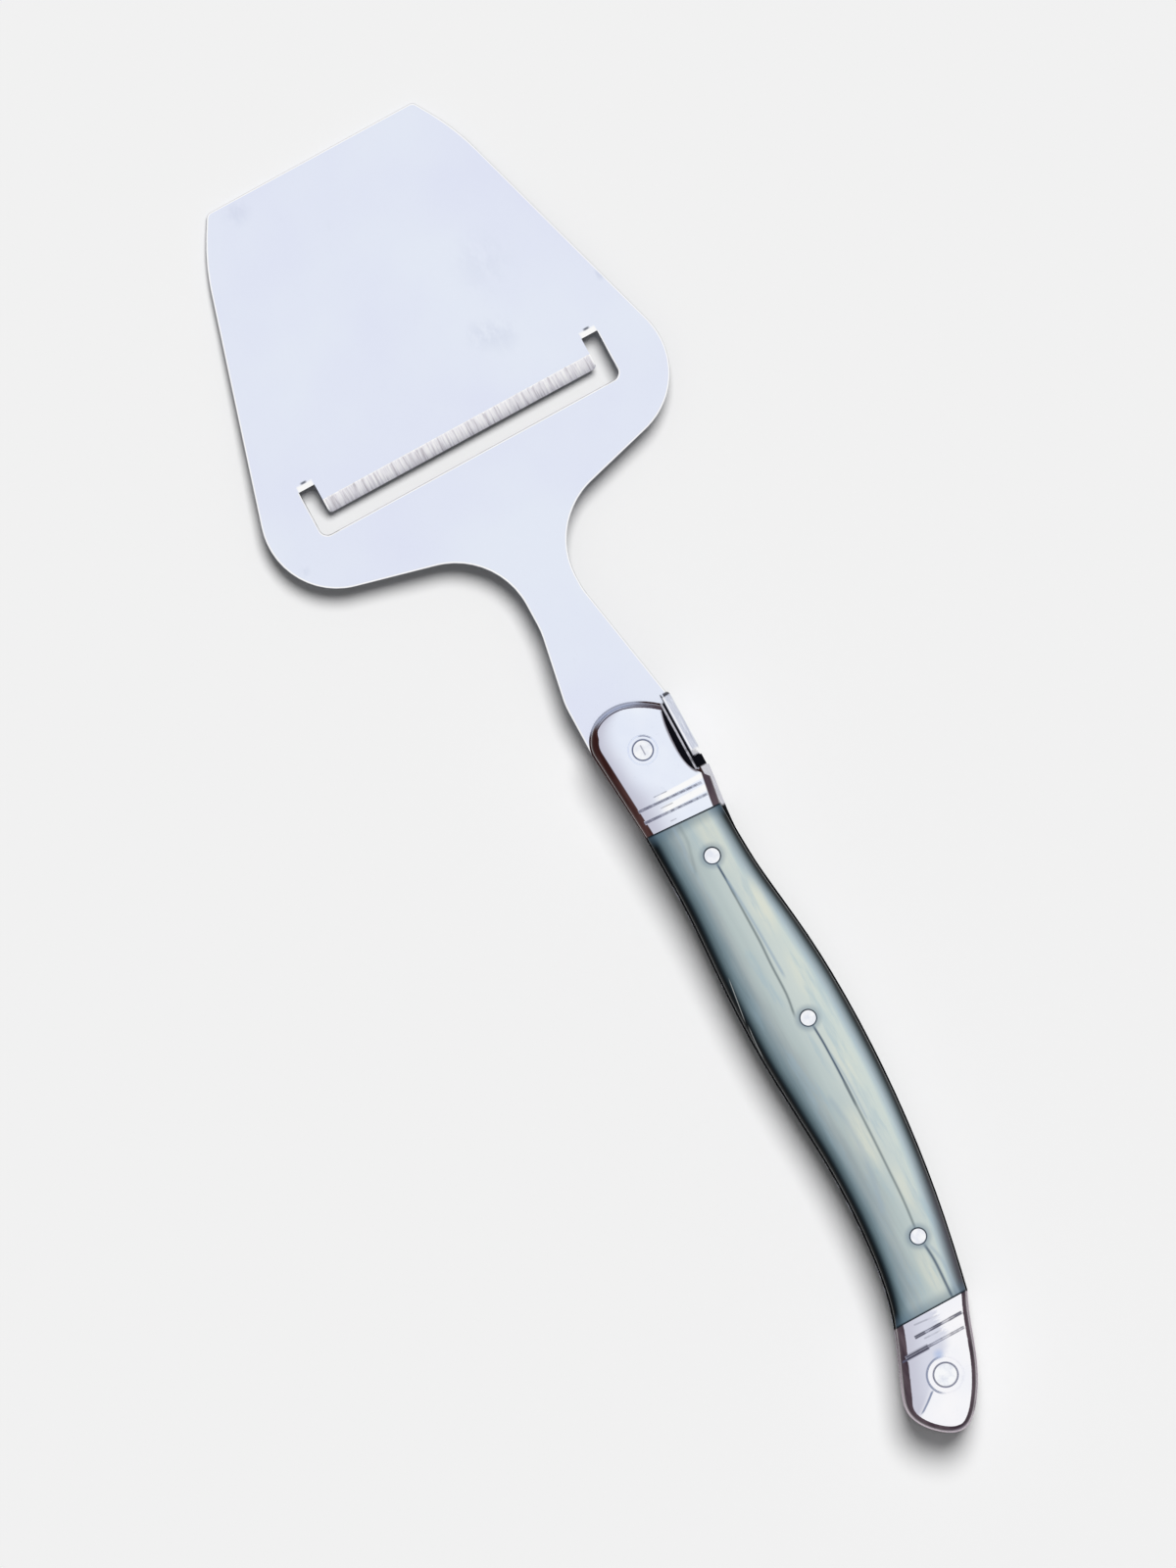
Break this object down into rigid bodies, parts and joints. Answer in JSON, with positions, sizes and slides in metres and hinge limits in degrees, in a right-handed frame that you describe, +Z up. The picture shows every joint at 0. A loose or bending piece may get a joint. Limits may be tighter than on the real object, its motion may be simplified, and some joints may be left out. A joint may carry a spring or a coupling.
{
  "type": "cheese slicer",
  "caption": "Steel cheese slicer with a flared plate, a slotted cutting edge and a curved handle of resin scales between steel bolsters.",
  "frame": {"origin": "on the table, under the middle of the tool's length and on the centre line of its plate", "axes": "+X along the tool from the handle to the plate's front edge, +Y across it on the side of the handle's belly, +Z up from the table"},
  "size_m": [0.2232, 0.0695, 0.012],
  "materials": {
    "polished_sheet": "polished, with a ground cutting edge",
    "liner_steel": "satin",
    "bolster_steel": "mirror polished",
    "pin_steel": "polished",
    "horn_resin": "glossy, veined cream and grey green"
  },
  "bodies": {
    "root": {"blade": "polished_sheet", "liner_top": "liner_steel", "liner_bottom": "liner_steel", "back_spring": "liner_steel", "spring_head": "liner_steel", "front_bolster_top": "bolster_steel", "front_bolster_bottom": "bolster_steel", "rear_bolster_top": "bolster_steel", "rear_bolster_bottom": "bolster_steel", "scale_top": "horn_resin", "scale_bottom": "horn_resin", "front_bolster_pin": "pin_steel", "rear_bolster_pin": "pin_steel", "scale_pin_front": "pin_steel", "scale_pin_middle": "pin_steel", "scale_pin_rear": "pin_steel"}
  },
  "joints": []
}
